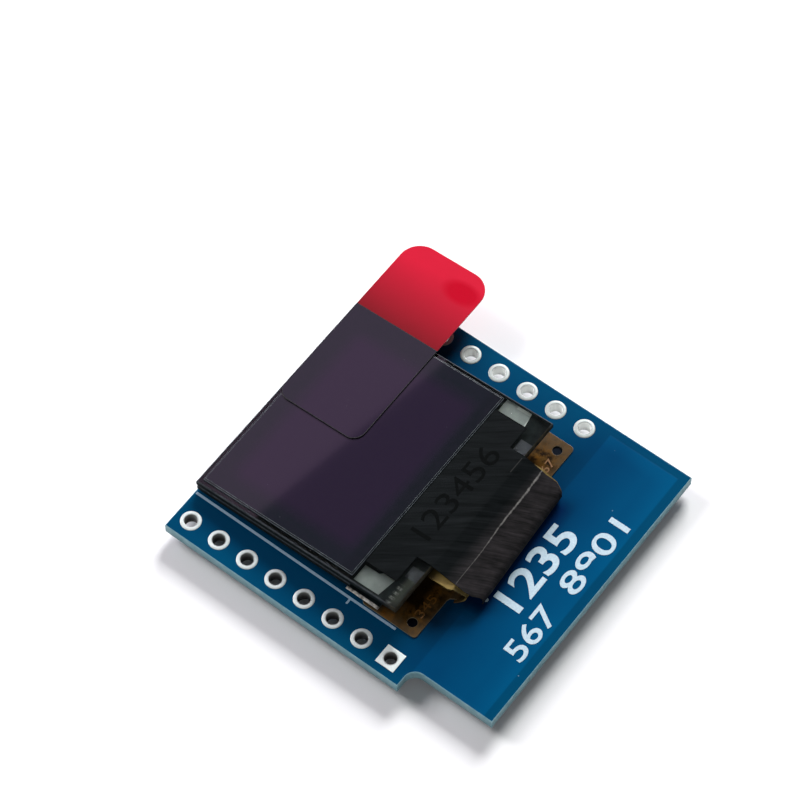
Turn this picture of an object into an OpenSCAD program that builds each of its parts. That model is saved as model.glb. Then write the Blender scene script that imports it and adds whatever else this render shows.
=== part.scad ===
// Small OLED display module: a carrier board with two rows of plated pin holes, a glass display
// panel held on it by foam tape, and the panel's folded flexible circuit, soldered to the board.
// X runs across the board, Y along it towards the end that carries the panel, and Z up.
// The origin is the centre of the pin grid, on the board's underside.

/* [Pin grid] */
// Distance between neighbouring pin holes in a row
pin_pitch = 2.54; // [2.4:0.01:2.7]
// Pin holes in each row
pins_per_row = 8; // [7:1:9]
// Distance between the two rows
row_spacing = 22.86; // [22.4:0.01:25.4]
// Finished diameter of a pin hole
hole_d = 0.95; // [0.8:0.05:1.1]
// Diameter of the pad round a pin hole
pad_d = 1.56; // [1.5:0.05:1.85]
// Height of a pad above the board's face
pad_t = 0.05; // [0.03:0.01:0.1]
// Wall of the plated barrel inside a pin hole
plating_t = 0.05; // [0.03:0.01:0.1]

/* [Board] */
// Thickness of the board
board_t = 1; // [0.8:0.1:1.6]
// Board beyond the last pin at the panel's end
top_margin = 1.26; // [1.1:0.01:3]
// Board beyond the last pin at the other end
bottom_margin = 8.43; // [7.5:0.01:12]
// Board beyond a pin row at the side
side_margin = 1.37; // [1.1:0.01:3]
// Depth of the notch from the board's left side
notch_w = 1.75; // [1:0.05:2.2]
// Distance from the last left pin to the notch
notch_gap = 1.61; // [1.3:0.01:4]
// Inner corner radius of the notch
notch_r = 0.9; // [0.3:0.1:0.95]

/* [Glass panel] */
// Width of the panel
panel_w = 18.46; // [17.5:0.01:19.2]
// Length of the front glass
panel_l = 17.8; // [17:0.01:18.6]
// Length of front glass that stands out past the rear glass
ledge_l = 4.05; // [3.8:0.05:4.8]
// Thickness of the front glass
front_glass_t = 0.55; // [0.4:0.05:0.7]
// Thickness of the rear glass
rear_glass_t = 0.55; // [0.4:0.05:0.7]
// Ground bevel on the glass edges
glass_bevel = 0.08; // [0.04:0.01:0.12]
// Distance from the board's top edge to the panel's
panel_setback = 0.1; // [0:0.05:0.5]
// Gap between the board and the panel's top edge
panel_gap = 0.14; // [0.1:0.01:0.3]
// Angle by which the panel's ledge end is raised
panel_pitch = 4; // [3:0.5:6]
// Height of the seal between the two glasses
seal_t = 0.05; // [0.03:0.01:0.1]
// Width of the seal
seal_w = 1.2; // [0.6:0.1:1.5]
// Distance from the glass edge to the seal
seal_inset = 0.3; // [0.1:0.05:0.5]
// Rear glass beside the light-emitting area
border_side = 2.52; // [1.6:0.01:3.5]
// Rear glass past each end of the light-emitting area
border_end = 1.92; // [1.6:0.01:3]
// Thickness of the light-emitting layers
active_t = 0.02; // [0.01:0.005:0.025]
// Distance from the glass edge to the polariser
polariser_inset = 0.4; // [0.2:0.05:0.6]
// Thickness of the polariser
polariser_t = 0.15; // [0.1:0.01:0.25]
// Distance from the polariser's edge to the protective film
film_inset = 0.1; // [0.05:0.05:0.5]
// Thickness of the protective film
film_t = 0.06; // [0.04:0.01:0.1]

/* [Pull tab] */
// Length of the pull tab
tab_l = 16.4; // [12:0.1:20]
// Width of the pull tab
tab_w = 7.3; // [5:0.1:9]
// Thickness of the pull tab
tab_t = 0.1; // [0.05:0.01:0.2]
// Length of tab stuck on the film
tab_hold = 9.5; // [6:0.1:12]
// Distance from the panel's top edge to the tab
tab_drop = 0.2; // [0.1:0.1:2]
// Corner radius of the tab on the film
tab_inner_r = 1; // [0.3:0.1:2]
// Corner radius of the tab's free end
tab_outer_r = 1.7; // [0.5:0.1:2.4]

/* [Driver chip and marks] */
// Length of the driver chip
chip_l = 10.6; // [8:0.1:12]
// Width of the driver chip
chip_w = 0.95; // [0.7:0.05:1.1]
// Thickness of the driver chip
chip_t = 0.3; // [0.2:0.05:0.4]
// Distance from the rear glass to the chip
chip_gap = 0.45; // [0.3:0.05:0.6]
// Thickness of the metal films on the ledge
metal_t = 0.02; // [0.01:0.005:0.04]
// Width of a contact field at the ledge's ends
contact_w = 1.65; // [0.8:0.05:1.8]
// Length of a contact field
contact_l = 2.45; // [1.5:0.05:2.8]
// Distance from the panel's side to a contact field
contact_inset = 0.3; // [0.2:0.05:0.8]
// Distance from the rear glass to a contact field
contact_gap = 0.08; // [0.02:0.02:0.3]
// Side of an alignment mark
mark_w = 1; // [0.5:0.05:1.2]
// Distance from an alignment mark to the neck
mark_gap = 0.02; // [0.02:0.01:0.4]
// Distance from an alignment mark to the ledge's edge
mark_end = 0.2; // [0.1:0.05:0.6]

/* [Flexible circuit] */
// Thickness of the flexible circuit
flex_t = 0.12; // [0.08:0.01:0.16]
// Width of the neck
neck_w = 11.6; // [9:0.1:12]
// Width of the neck where it folds back
bend_w = 10.8; // [8:0.1:11.2]
// Share of the slope that keeps the neck's full width
neck_full = 0.6; // [0.1:0.05:0.8]
// Distance by which the flexible circuit lies right of centre
flex_shift = 0.2; // [0:0.05:0.25]
// Length of neck bonded under the ledge
bond_l = 1.6; // [1:0.1:2]
// Distance from the panel's edge to the crease
crease_out = 1.67; // [1:0.01:2]
// Distance from the panel's edge to the outside of the fold
fold_out = 3.37; // [2.6:0.01:3.8]
// Outer radius of the fold at the board
fold_r = 0.7; // [0.5:0.05:0.85]
// Distance by which the tail on the board stands out past the panel's side
tail_overhang = 0.22; // [-0.3:0.01:0.35]
// Distance from the panel's edge to the tail's front edge
tail_out = 1.71; // [1:0.01:2]
// Length of the tail
tail_l = 4.7; // [4:0.1:5.2]
// Corner radius of the tail
tail_r = 0.3; // [0.1:0.05:0.5]
// Slanted shoulder between the fold and the tail
shoulder = 0.7; // [0.3:0.1:1]
// Diameter of the registration holes in the tail
registration_d = 0.75; // [0.5:0.05:1]
// Distance from the tail's edges to a registration hole
registration_inset = 0.9; // [0.7:0.05:1.3]

/* [Solder joints] */
// Joints between the tail and the board
joint_count = 14; // [12:1:15]
// Distance between neighbouring joints
joint_pitch = 1; // [0.9:0.05:1.05]
// Width of a joint
joint_w = 0.6; // [0.3:0.05:0.7]
// Length of a joint on the tail
joint_on_tail = 0.8; // [0.5:0.05:1.2]
// Length of a joint on the board
joint_on_board = 0.7; // [0.4:0.05:0.9]
// Height of a joint above the tail
joint_h = 0.35; // [0.2:0.01:0.4]

/* [Tapes] */
// Distance from the panel's side to the foam tape
foam_side = 1.43; // [0.5:0.01:3]
// Distance from the panel's top edge to the foam tape
foam_inset = 0.8; // [0.4:0.1:2]
// Distance from the rear glass's lower edge to the foam tape
foam_end = 1.5; // [1:0.1:4]
// Distance from the panel's side to the insulating strip over the solder joints
strip_inset = 0.03; // [-0.2:0.01:1]
// Length of the insulating strip
strip_l = 2.8; // [2:0.1:2.9]
// Thickness of the insulating strip
strip_t = 0.12; // [0.06:0.01:0.15]
// Thickness of the black light shield
shield_t = 0.07; // [0.05:0.01:0.1]
// Distance from the panel's side to the shield on the ledge, before its shift
shield_side = 1.53; // [1.4:0.01:2.6]
// Length of the shield's wide part
shield_l = 2.75; // [2:0.05:3]
// Width of the shield on the neck
shield_neck_w = 10.7; // [8:0.1:11]
// Distance by which the shield lies right of centre
shield_shift = 0.3; // [0:0.05:0.4]

/* [Parts on the underside] */
// Length of a chip capacitor or resistor
chip_part_l = 1.6; // [1:0.1:2]
// Width of a chip capacitor or resistor
chip_part_w = 0.8; // [0.5:0.05:1.25]
// Height of a chip capacitor
capacitor_h = 0.8; // [0.5:0.05:1.25]
// Height of a chip resistor
resistor_h = 0.45; // [0.3:0.05:0.48]
// Length of a metal end on such a part
end_l = 0.3; // [0.2:0.05:0.45]
// Reach of the solder past a metal end
solder_reach = 0.3; // [0.15:0.05:0.4]
// Side of an address jumper pad
jumper_w = 0.9; // [0.6:0.05:1.1]
// Distance between neighbouring jumper pads
jumper_pitch = 1.2; // [1.15:0.05:1.6]
// Distance from the board's lower edge to the middle of the jumper pads
jumper_edge = 4.5; // [1:0.1:6]
// Distance from the grid's centre up to the first row of capacitors
charge_row = 4.6; // [3:0.1:8]
// Distance between capacitors in the first row
charge_pitch = 4; // [3:0.1:5]
// Distance from the grid's centre down to the second row of capacitors
supply_row = 6.6; // [4:0.1:8]
// Distance between capacitors in the second row
supply_pitch = 5; // [3:0.1:7]
// Distance from the grid's centre down to the row of resistors
resistor_row = 1; // [-1:0.1:2]
// Distance between resistors
resistor_pitch = 4; // [3:0.1:7]

/* [Hidden] */
$fn = 48;
left = -1;
right = 1;
pin_span = (pins_per_row - 1) * pin_pitch;
pin_x = row_spacing / 2;
board_x = pin_x + side_margin;
board_top = pin_span / 2 + top_margin;
board_bottom = -pin_span / 2 - bottom_margin;
notch_y = -pin_span / 2 - notch_gap;
slip = 0.02; // overlap between the solids of one piece, and overrun of a cut
pad_bevel = 0.4 * pad_t;

// Heights in the panel's own frame, from the underside of the rear glass
inner_z = rear_glass_t + seal_t;
ledge_z = inner_z + front_glass_t;
film_z = ledge_z + polariser_t;
tab_z = film_z + film_t;
rear_l = panel_l - ledge_l;
active_w = panel_w - 2 * border_side;
active_l = rear_l - 2 * border_end;
polariser_w = panel_w - 2 * polariser_inset;
polariser_l = rear_l - polariser_inset;
film_w = polariser_w - 2 * film_inset;
film_l = polariser_l - 2 * film_inset;

// Widths that follow the panel's
tail_w = panel_w + 2 * tail_overhang;
foam_w = panel_w - 2 * foam_side;
strip_w = panel_w - 2 * strip_inset;
shield_w = panel_w - 2 * shield_side;

// Side view of the panel: a point at (y, z) of its own frame, as (Y, Z) of the board's
panel_y = board_top - panel_setback;
function on_panel(y, z) = [panel_y + y * cos(panel_pitch) + z * sin(panel_pitch),
                           board_t + panel_gap - y * sin(panel_pitch) + z * cos(panel_pitch)];

// Side view of the flexible circuit: its outer face leaves the ledge, bends at the crease and
// runs down to the fold's arc, which brings it back along the board
edge_y = on_panel(-panel_l, ledge_z)[0];
neck_start = on_panel(bond_l - panel_l, inner_z);
neck_normal = [sin(panel_pitch), cos(panel_pitch)];
crease = neck_start + (neck_start[0] - edge_y + crease_out) * [-1, tan(panel_pitch)];
fold_c = [edge_y - fold_out + fold_r, board_t + fold_r];
to_fold = fold_c - crease;
slope = atan2(-to_fold[1], -to_fold[0]) - asin(fold_r / norm(to_fold));
slope_normal = [-sin(slope), cos(slope)];
ledge_edge = on_panel(-panel_l, ledge_z);
tent = crease - ledge_edge;
tent_normal = [tent[1], -tent[0]] / norm(tent);
tail_front = edge_y - tail_out;
tail_back = tail_front + tail_l;

// Places of the parts on the underside: x and y
capacitor_places = concat([for (i = [-1.5:1.5]) [charge_pitch * i, charge_row]],
                          [for (i = [-1:1]) [supply_pitch * i, -supply_row]]);
resistor_places = [for (i = [-1:1]) [resistor_pitch * i, -resistor_row]];
jumper_y = board_bottom + jumper_edge;

rows = [["left", left], ["right", right]];
pins = [for (i = [1:pins_per_row]) i];
joints = [for (i = [1:joint_count]) i];

function pin_y(i) = pin_span / 2 - (i - 1) * pin_pitch;
function mitre(a, b) = (a + b) / (1 + a * b);
function arc(c, r, from, to, steps) =
    [for (i = [0:steps]) c + r * [for (f = [0, 90]) cos(from + (to - from) * i / steps - f)]];
function reversed(list) = [for (i = [len(list) - 1:-1:0]) list[i]];

// The flexible circuit's side line from the ledge to the fold's far side, d outside its face
function neck_line(d) = concat(
    [neck_start + d * neck_normal, crease + d * mitre(neck_normal, slope_normal)],
    arc(fold_c, fold_r + d, 90 + slope, 180, 8));
// The line of the light shield, d outside the ledge and the neck
function shield_line(d) = concat(
    [on_panel(-rear_l, ledge_z) + d * neck_normal,
     ledge_edge + d * mitre(neck_normal, tent_normal),
     crease + d * mitre(tent_normal, slope_normal)],
    arc(fold_c, fold_r + d, 90 + slope, 180, 8));

// A side view, given as Y and Z, made w wide along X and centred
module across(w)
    rotate([90, 0, 90])
        linear_extrude(w, center = true)
            children();

// What is modelled flat, put in the panel's pitched frame
module in_panel()
    translate([0, panel_y, board_t + panel_gap])
        rotate([-panel_pitch, 0, 0])
            children();

// A plate whose top edge is at y = 0, between two heights
module plate(w, l, z, t)
    translate([-w / 2, -l, z])
        cube([w, l, t]);

module rounded_rectangle(low, high, r) {
    for (x = [low[0] + r, high[0] - r], y = [low[1] + r, high[1] - r])
        translate([x, y])
            circle(r);
    translate([low[0] + r, low[1]])
        square([high[0] - low[0] - 2 * r, high[1] - low[1]]);
    translate([low[0], low[1] + r])
        square([high[0] - low[0], high[1] - low[1] - 2 * r]);
}

// A glass plate with its edges ground at the top and the bottom
module glass(w, l, z, t) {
    b = glass_bevel;
    intersection() {
        translate([0, -l / 2, z])
            across(w)
                polygon([[-l / 2 + b, 0], [l / 2 - b, 0], [l / 2, b], [l / 2, t - b],
                         [l / 2 - b, t], [-l / 2 + b, t], [-l / 2, t - b], [-l / 2, b]]);
        translate([0, 0, z])
            rotate([90, 0, 0])
                linear_extrude(l)
                    polygon([[-w / 2 + b, 0], [w / 2 - b, 0], [w / 2, b], [w / 2, t - b],
                             [w / 2 - b, t], [-w / 2 + b, t], [-w / 2, t - b], [-w / 2, b]]);
    }
}

module printed_circuit_board()
    color([0.02, 0.26, 0.47])
        linear_extrude(board_t)
            difference() {
                translate([-board_x, board_bottom])
                    square([2 * board_x, board_top - board_bottom]);
                rounded_rectangle([-board_x - 2 * notch_r, board_bottom - 2 * notch_r],
                                  [-board_x + notch_w, notch_y], notch_r);
                for (side = [left, right], i = pins)
                    translate([side * pin_x, pin_y(i)])
                        circle(d = hole_d + 2 * plating_t);
            }

// A plated pin hole: a barrel with a pad on each face, square at the last left pin
module pin_pad(side, i) {
    square_pad = side == left && i == pins_per_row;
    color([0.85, 0.86, 0.84])
        translate([side * pin_x, pin_y(i)])
            difference() {
                union() {
                    if (square_pad)
                        for (z = [-pad_t, board_t])
                            translate([-pad_d / 2, -pad_d / 2, z])
                                cube([pad_d, pad_d, pad_t]);
                    else
                        rotate_extrude()
                            for (z = [board_t, -pad_t])
                                polygon([[0, z], [pad_d / 2, z], [pad_d / 2, z + pad_t - pad_bevel],
                                         [pad_d / 2 - pad_bevel, z + pad_t], [0, z + pad_t]]);
                    translate([0, 0, -slip])
                        cylinder(d = hole_d + 2 * plating_t, h = board_t + 2 * slip);
                }
                translate([0, 0, -2 * pad_t])
                    cylinder(d = hole_d, h = board_t + 4 * pad_t);
            }
}

module mounting_foam() {
    low = on_panel(foam_end - rear_l, 0);
    high = on_panel(-foam_inset, 0);
    color([0.86, 0.86, 0.83])
        across(foam_w)
            polygon([[low[0], board_t], [high[0], board_t], high, low]);
}

module rear_glass()
    color([0.16, 0.2, 0.21])
        in_panel()
            glass(panel_w, rear_l, 0, rear_glass_t);

module seal_frame()
    color([0.55, 0.5, 0.4])
        in_panel()
            difference() {
                w = panel_w - 2 * seal_inset;
                l = rear_l - 2 * seal_inset;
                translate([0, -seal_inset])
                    plate(w, l, rear_glass_t, seal_t);
                translate([0, -seal_inset - seal_w])
                    plate(w - 2 * seal_w, l - 2 * seal_w, rear_glass_t - slip, seal_t + 2 * slip);
            }

module emissive_layer()
    color([0.3, 0.2, 0.4])
        in_panel()
            translate([0, (active_l - rear_l) / 2])
                plate(active_w, active_l, inner_z - active_t, active_t);

module front_glass()
    color([0.2, 0.24, 0.25])
        in_panel()
            glass(panel_w, panel_l, inner_z, front_glass_t);

module polariser()
    color([0.14, 0.11, 0.18])
        in_panel()
            translate([0, -polariser_inset])
                plate(polariser_w, polariser_l, ledge_z, polariser_t);

module protective_film()
    color([0.3, 0.25, 0.33])
        in_panel()
            translate([0, -polariser_inset - film_inset])
                plate(film_w, film_l, film_z, film_t);

// The tab that pulls the film off: stuck on it at its inner end, and free past the panel's side
module pull_tab() {
    inner = panel_w / 2 - tab_hold;
    top = -tab_drop;
    low = top - tab_w;
    mid = inner + tab_l / 2;
    color([0.78, 0.1, 0.2])
        in_panel()
            translate([0, 0, tab_z])
                linear_extrude(tab_t) {
                    rounded_rectangle([inner, low], [mid + tab_inner_r, top], tab_inner_r);
                    rounded_rectangle([mid - tab_outer_r, low], [inner + tab_l, top], tab_outer_r);
                }
}

module driver_chip()
    color([0.35, 0.36, 0.38])
        in_panel()
            translate([0, -rear_l - chip_gap])
                plate(chip_l, chip_w, inner_z - chip_t, chip_t);

// A contact field under an end of the ledge, with one corner cut back
module contact(side) {
    x = panel_w / 2 - contact_inset;
    y = -rear_l - contact_gap;
    cut = contact_w / 6;
    color([0.62, 0.64, 0.6])
        in_panel()
            translate([0, 0, inner_z - metal_t])
                linear_extrude(metal_t)
                    polygon([for (p = [[x, y], [x - contact_w + cut, y],
                                       [x - contact_w + cut, y - contact_l / 2],
                                       [x - contact_w, y - contact_l / 2 - cut],
                                       [x - contact_w, y - contact_l], [x, y - contact_l + cut]])
                             [side * p[0], p[1]]]);
}

module mark(side)
    color([0.4, 0.42, 0.48])
        in_panel()
            translate([flex_shift + side * (neck_w / 2 + mark_gap + mark_w / 2),
                       -panel_l + mark_end + mark_w])
                plate(mark_w, mark_w, inner_z - metal_t, metal_t);

// Neck under the ledge, crease, fold, and the wide tail on the board
module flex_cable() {
    neck = concat(neck_line(0), reversed(neck_line(-flex_t)));
    fold_x = neck_w / 2;
    bend_x = bend_w / 2;
    fold_far = edge_y - fold_out;
    waist = crease[0] + neck_full * (fold_far - crease[0]);
    base = concat(arc(fold_c, fold_r, 180, 270, 8), [[tail_back, board_t]],
                  [[tail_back, board_t + flex_t]], arc(fold_c, fold_r - flex_t, 270, 180, 8));
    color([0.62, 0.4, 0.12])
    translate([flex_shift, 0]) {
        intersection() {
            across(neck_w)
                polygon(neck);
            linear_extrude(board_t + panel_l)
                polygon([[-fold_x, neck_start[0]], [-fold_x, waist], [-bend_x, fold_far],
                         [bend_x, fold_far], [fold_x, waist], [fold_x, neck_start[0]]]);
        }
        intersection() {
            across(tail_w)
                polygon(base);
            linear_extrude(board_t + panel_l)
                difference() {
                    union() {
                        translate([-bend_x, fold_far])
                            square([bend_w, tail_front + tail_r - fold_far]);
                        polygon([[-bend_x, tail_front - shoulder], [bend_x, tail_front - shoulder],
                                 [bend_x + shoulder, tail_front + slip],
                                 [-bend_x - shoulder, tail_front + slip]]);
                        rounded_rectangle([-tail_w / 2, tail_front],
                                          [tail_w / 2, tail_back + slip], tail_r);
                    }
                    for (side = [left, right])
                        translate([side * (tail_w / 2 - registration_inset),
                                   tail_front + registration_inset])
                            circle(d = registration_d);
                }
        }
    }
}

// A solder joint: it laps the tail's end and runs down to the board
module flex_joint(i) {
    top = board_t + flex_t;
    color([0.8, 0.81, 0.8])
        translate([flex_shift + (i - (joint_count + 1) / 2) * joint_pitch, 0])
            across(joint_w)
                polygon([[tail_back - joint_on_tail, top], [tail_back, top], [tail_back, board_t],
                         [tail_back + joint_on_board, board_t],
                         [tail_back + joint_on_board / 3, top + joint_h],
                         [tail_back - joint_on_tail / 2, top + joint_h]]);
}

module insulating_strip()
    color([0.82, 0.84, 0.84])
        translate([-strip_w / 2, tail_back - strip_l / 2, board_t + flex_t + joint_h])
            cube([strip_w, strip_l, strip_t]);

// The black tape: a bar across the ledge and a stem that follows the neck over the crease
module light_shield() {
    line = concat(shield_line(0), reversed(shield_line(shield_t)));
    bar_end = on_panel(-rear_l, ledge_z)[0] - shield_l;
    fold_far = edge_y - fold_out - shield_t;
    waist = crease[0] + neck_full * (fold_far - crease[0]);
    color([0.1, 0.11, 0.11])
        intersection() {
            translate([shield_shift, 0])
                across(shield_w)
                    polygon(line);
            translate([shield_shift, 0])
                linear_extrude(board_t + panel_l) {
                    translate([-shield_w / 2, bar_end])
                        square([shield_w, shield_l + 1]);
                    polygon([[-shield_neck_w / 2, bar_end + slip], [-shield_neck_w / 2, waist],
                             [(neck_w - bend_w - shield_neck_w) / 2, fold_far],
                             [(bend_w - neck_w + shield_neck_w) / 2, fold_far],
                             [shield_neck_w / 2, waist], [shield_neck_w / 2, bar_end + slip]]);
                }
        }
}

// A chip part that hangs under the board, with metal ends and solder fillets
module chip_part(place, h, body_colour) {
    l = chip_part_l;
    translate([place[0], place[1]]) {
        color(body_colour)
            translate([-l / 2 + end_l, -chip_part_w / 2 + slip, -h + slip])
                cube([l - 2 * end_l, chip_part_w - 2 * slip, h - slip]);
        color([0.78, 0.79, 0.78])
            for (side = [left, right])
                translate([0, chip_part_w / 2])
                    rotate([90, 0, 0])
                        linear_extrude(chip_part_w)
                            polygon([for (p = [[l / 2 - end_l, 0], [l / 2 + solder_reach, 0],
                                               [l / 2, -h * 0.6], [l / 2, -h], [l / 2 - end_l, -h]])
                                     [side * p[0], p[1]]]);
    }
}

module jumper_pad(i)
    color([0.8, 0.81, 0.8])
        translate([(i - 2) * jumper_pitch - jumper_w / 2, jumper_y - jumper_w / 2, -pad_t])
            cube([jumper_w, jumper_w, pad_t]);

printed_circuit_board();
for (row = rows, i = pins)
    pin_pad(row[1], i);
for (i = joints)
    flex_joint(i);
for (i = [1:len(capacitor_places)])
    chip_part(capacitor_places[i - 1], capacitor_h, [0.7, 0.6, 0.46]);
for (i = [1:len(resistor_places)])
    chip_part(resistor_places[i - 1], resistor_h, [0.08, 0.08, 0.09]);
for (i = [1:3])
    jumper_pad(i);
mounting_foam();
insulating_strip();
rear_glass();
seal_frame();
emissive_layer();
front_glass();
polariser();
protective_film();
pull_tab();
driver_chip();
contact(left);  // contact_left
contact(right);  // contact_right
mark(left);  // mark_left
mark(right);  // mark_right
flex_cable();
light_shield();
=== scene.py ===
import bpy
import bmesh
from math import asin, atan2, cos, hypot, pi, radians, sin, tan
from mathutils import Matrix, Vector


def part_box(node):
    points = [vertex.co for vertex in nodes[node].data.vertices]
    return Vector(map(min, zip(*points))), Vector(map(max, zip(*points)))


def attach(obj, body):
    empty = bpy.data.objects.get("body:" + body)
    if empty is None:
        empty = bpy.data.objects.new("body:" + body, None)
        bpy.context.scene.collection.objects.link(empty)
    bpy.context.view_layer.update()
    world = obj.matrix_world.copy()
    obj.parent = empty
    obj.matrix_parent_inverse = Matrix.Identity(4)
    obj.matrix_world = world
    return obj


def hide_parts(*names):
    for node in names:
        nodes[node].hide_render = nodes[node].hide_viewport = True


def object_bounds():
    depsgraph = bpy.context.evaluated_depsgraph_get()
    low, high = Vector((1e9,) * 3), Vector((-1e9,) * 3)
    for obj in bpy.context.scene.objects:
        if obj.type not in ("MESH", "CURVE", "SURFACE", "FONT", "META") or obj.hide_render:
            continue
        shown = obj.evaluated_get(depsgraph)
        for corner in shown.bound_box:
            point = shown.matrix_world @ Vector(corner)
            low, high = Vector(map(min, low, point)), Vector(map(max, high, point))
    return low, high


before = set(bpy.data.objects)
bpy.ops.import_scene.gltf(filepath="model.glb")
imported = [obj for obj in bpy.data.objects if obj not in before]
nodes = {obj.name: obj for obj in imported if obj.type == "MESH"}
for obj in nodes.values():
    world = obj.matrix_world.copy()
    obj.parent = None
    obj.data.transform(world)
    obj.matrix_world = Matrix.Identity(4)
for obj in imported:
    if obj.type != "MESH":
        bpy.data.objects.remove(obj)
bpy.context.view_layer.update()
mm = 0.001

# measures that both the shapes and the finishes follow
pinGrid = {"rowX": 11.43, "pitch": 2.54, "count": 8}
crease = {"middle": -9.45, "slant": 0.05, "wave": 0.035, "rate": 1.1, "start": 0.6}
print("frame loaded with", len(nodes), "solids")


# Small helpers for shader and geometry trees

def addNode(tree, kind, inputs=None, **settings):
    node = tree.nodes.new(kind)
    for key, value in settings.items():
        setattr(node, key, value)
    for key, value in (inputs or {}).items():
        if isinstance(value, bpy.types.NodeSocket):
            tree.links.new(value, node.inputs[key])
        else:
            node.inputs[key].default_value = value
    return node


def maths(tree, operation, a, b=0.0, c=0.0, clamp=False):
    node = addNode(tree, "ShaderNodeMath", {0: a, 1: b, 2: c}, operation=operation, use_clamp=clamp)
    return node.outputs[0]


def squaresOf(tree, a, b):
    return maths(tree, "ADD", maths(tree, "MULTIPLY", a, a), maths(tree, "MULTIPLY", b, b))


def mixColour(tree, share, low, high, blend="MIX"):
    mix = addNode(tree, "ShaderNodeMix", data_type="RGBA", blend_type=blend, clamp_factor=True)
    for place, value in ((0, share), (6, low), (7, high)):
        if isinstance(value, bpy.types.NodeSocket):
            tree.links.new(value, mix.inputs[place])
        else:
            mix.inputs[place].default_value = value if place == 0 else (*value, 1)
    return mix.outputs[2]


def ramp(tree, value, start, end, low=0.0, high=1.0):
    return addNode(tree, "ShaderNodeMapRange", {0: value, 1: start, 2: end, 3: low, 4: high}).outputs[0]


def spread(tree, value, low, high):
    return ramp(tree, value, 0.0, 1.0, low, high)


def show(thing):
    bpy.context.scene.collection.objects.link(thing)


def newGroup(name, inputs, outputs):
    tree = bpy.data.node_groups.new(name, "ShaderNodeTree")
    for label, value in inputs.items():
        socket = tree.interface.new_socket(label, in_out="INPUT", socket_type="NodeSocketFloat")
        socket.default_value = value
    for label in outputs:
        tree.interface.new_socket(label, in_out="OUTPUT", socket_type="NodeSocketFloat")
    entry = tree.nodes.new("NodeGroupInput")
    leave = tree.nodes.new("NodeGroupOutput")
    return tree, entry, leave


def useGroup(tree, group, **inputs):
    node = tree.nodes.new("ShaderNodeGroup")
    node.node_tree = group
    for label, value in inputs.items():
        label = label.replace("_", " ")
        if isinstance(value, bpy.types.NodeSocket):
            tree.links.new(value, node.inputs[label])
        else:
            node.inputs[label].default_value = value
    return node.outputs


def millimetres(tree, turn=0.0, stretch=(1, 1, 1)):
    place = addNode(tree, "ShaderNodeTexCoord")
    mapping = addNode(tree, "ShaderNodeMapping", {
        "Vector": place.outputs["Object"],
        "Rotation": (0, 0, turn),
        "Scale": tuple(s / mm for s in stretch)})
    return mapping.outputs[0]


def axesOf(tree):
    return addNode(tree, "ShaderNodeSeparateXYZ", {0: millimetres(tree)}).outputs


# Shared effects

def makeGrain():
    tree, entry, leave = newGroup("grain", {"Size": 0.2, "Detail": 4.0, "Contrast": 1.0}, ["Value"])
    place = millimetres(tree)
    scale = maths(tree, "DIVIDE", 1.0, entry.outputs["Size"])
    noise = addNode(tree, "ShaderNodeTexNoise", {
        "Vector": place, "Scale": scale, "Detail": entry.outputs["Detail"], "Roughness": 0.55})
    centred = maths(tree, "SUBTRACT", noise.outputs[0], 0.5)
    value = maths(tree, "MULTIPLY_ADD", centred, entry.outputs["Contrast"], 0.5, clamp=True)
    tree.links.new(value, leave.inputs["Value"])
    return tree


def makeZone():
    tree, entry, leave = newGroup("zone", {
        "Left": -1.0, "Right": 1.0, "Low": -1.0, "High": 1.0, "Softness": 0.1}, ["Mask"])
    axes = axesOf(tree)
    sides = []
    for label, axis, sign in (("Left", 0, 1), ("Right", 0, -1), ("Low", 1, 1), ("High", 1, -1)):
        gap = maths(tree, "SUBTRACT", axes[axis], entry.outputs[label])
        gap = maths(tree, "MULTIPLY", gap, float(sign))
        gap = maths(tree, "DIVIDE", gap, entry.outputs["Softness"])
        sides.append(maths(tree, "ADD", gap, 0.5, clamp=True))
    mask = maths(tree, "MULTIPLY", maths(tree, "MULTIPLY", sides[0], sides[1]),
                 maths(tree, "MULTIPLY", sides[2], sides[3]))
    tree.links.new(mask, leave.inputs["Mask"])
    return tree


def makeStripes():
    tree, entry, leave = newGroup("stripes", {
        "Angle": 0.0, "Pitch": 0.2, "Wobble": 0.05, "Length": 3.0}, ["Value"])
    place = addNode(tree, "ShaderNodeVectorRotate", {
        "Vector": millimetres(tree), "Angle": entry.outputs["Angle"]}, rotation_type="Z_AXIS")
    axes = addNode(tree, "ShaderNodeSeparateXYZ", {0: place.outputs[0]}).outputs
    across = maths(tree, "DIVIDE", axes[1], entry.outputs["Pitch"])
    along = maths(tree, "DIVIDE", axes[0], entry.outputs["Length"])
    drawn = addNode(tree, "ShaderNodeCombineXYZ", {0: along, 1: across, 2: axes[2]})
    noise = addNode(tree, "ShaderNodeTexNoise", {
        "Vector": drawn.outputs[0], "Scale": 1.0, "Detail": 3.0, "Roughness": 0.6,
        "Distortion": entry.outputs["Wobble"]})
    tree.links.new(noise.outputs[0], leave.inputs["Value"])
    return tree


def makeDust():
    tree, entry, leave = newGroup("dust", {"Spacing": 0.8, "Speck": 0.05, "Share": 0.4}, ["Mask"])
    place = millimetres(tree)
    scale = maths(tree, "DIVIDE", 1.0, entry.outputs["Spacing"])
    cells = addNode(tree, "ShaderNodeTexVoronoi", {"Vector": place, "Scale": scale, "Randomness": 1.0})
    radius = maths(tree, "DIVIDE", entry.outputs["Speck"], entry.outputs["Spacing"])
    near = maths(tree, "LESS_THAN", cells.outputs["Distance"], radius)
    tint = addNode(tree, "ShaderNodeSeparateXYZ", {0: cells.outputs["Color"]})
    chosen = maths(tree, "LESS_THAN", tint.outputs[0], entry.outputs["Share"])
    tree.links.new(maths(tree, "MULTIPLY", near, chosen), leave.inputs["Mask"])
    return tree


grain, zone, stripes, dust = makeGrain(), makeZone(), makeStripes(), makeDust()


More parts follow.
